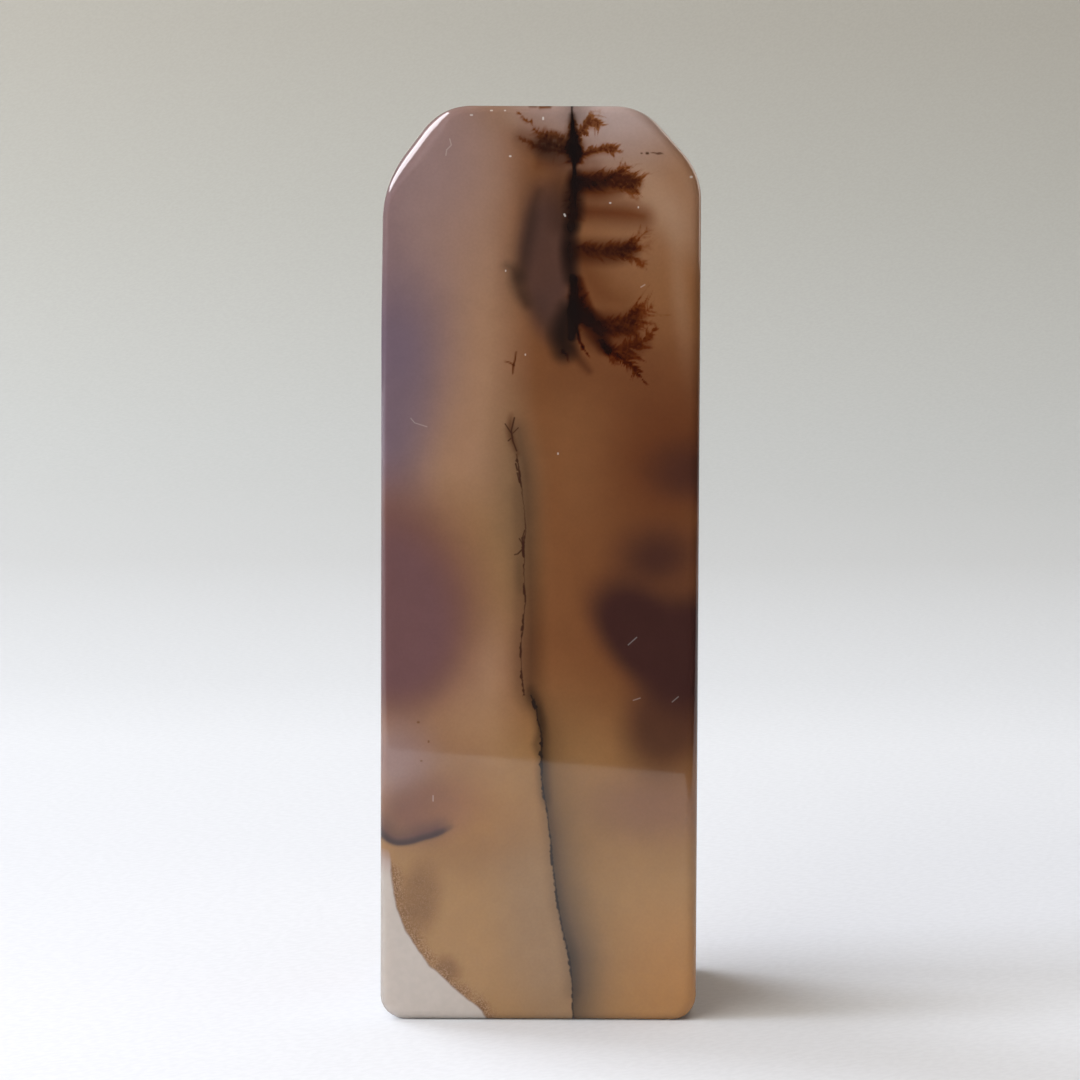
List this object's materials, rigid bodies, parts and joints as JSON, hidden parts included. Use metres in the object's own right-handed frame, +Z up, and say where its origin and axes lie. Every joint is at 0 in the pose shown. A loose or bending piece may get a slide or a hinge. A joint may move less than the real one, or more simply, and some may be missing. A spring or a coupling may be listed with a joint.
{
  "type": "agate seal stamp",
  "caption": "Square upright agate seal stone with sloped shoulders, polished all over, with a flat blank base for carving a stamp.",
  "frame": {"origin": "centre of the flat base, on the surface that the stone stands on", "axes": "+Z up along the stone's length, +X to the right as seen from the front, -Y towards the viewer of the front face"},
  "size_m": [0.0208, 0.0208, 0.06],
  "materials": {
    "agate": "polished"
  },
  "bodies": {
    "root": {"seal_stone": "agate"}
  },
  "joints": []
}
